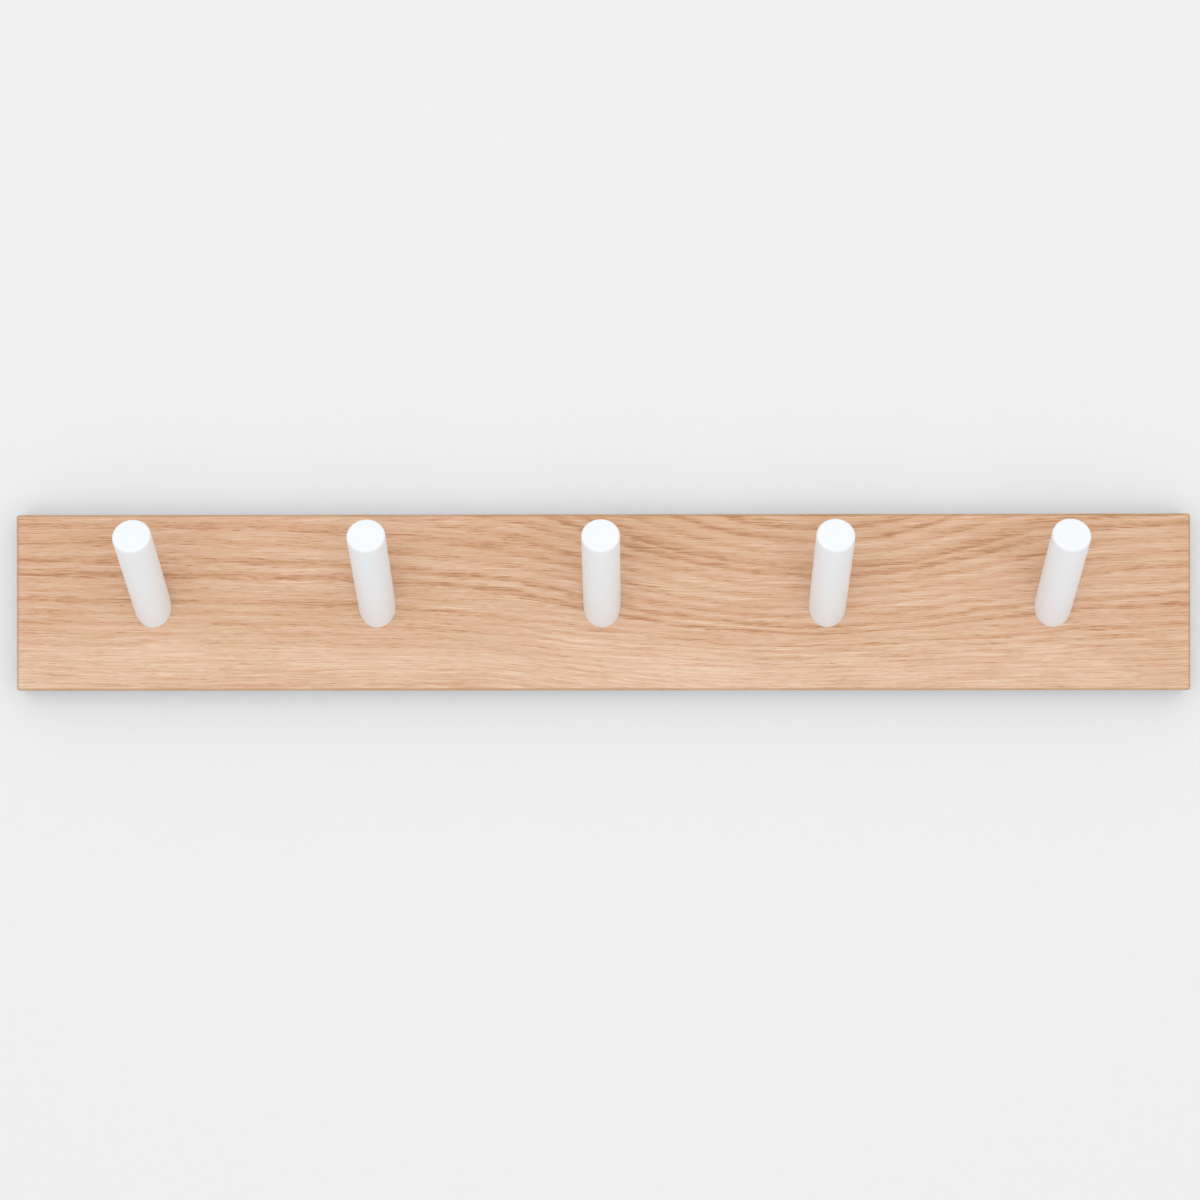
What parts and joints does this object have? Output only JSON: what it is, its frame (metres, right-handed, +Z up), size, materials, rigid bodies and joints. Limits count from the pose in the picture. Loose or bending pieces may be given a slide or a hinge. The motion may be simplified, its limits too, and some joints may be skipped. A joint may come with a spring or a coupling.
{
  "type": "wall hook rack",
  "caption": "Long oak board with a row of round white pegs that lean upwards, for coats and bags, hung flat on a wall by keyhole plates let into its back.",
  "frame": {"origin": "middle of the board's back face, which lies on the wall", "axes": "+X to the right as seen from the room, +Y into the wall, +Z up the wall"},
  "size_m": [0.6, 0.0828, 0.09],
  "materials": {
    "oak": "planed and sanded oak with clear oil, matt",
    "white_paint": "turned hardwood under satin white paint",
    "zinc_steel": "bright zinc plate"
  },
  "bodies": {
    "root": {"board": "oak", "peg_1": "white_paint", "peg_2": "white_paint", "peg_3": "white_paint", "peg_4": "white_paint", "peg_5": "white_paint", "peg_screw_1": "zinc_steel", "peg_screw_2": "zinc_steel", "peg_screw_3": "zinc_steel", "peg_screw_4": "zinc_steel", "peg_screw_5": "zinc_steel", "keyhole_plate_left": "zinc_steel", "keyhole_plate_right": "zinc_steel", "plate_screw_left_lower": "zinc_steel", "plate_screw_left_upper": "zinc_steel", "plate_screw_right_lower": "zinc_steel", "plate_screw_right_upper": "zinc_steel"}
  },
  "joints": []
}
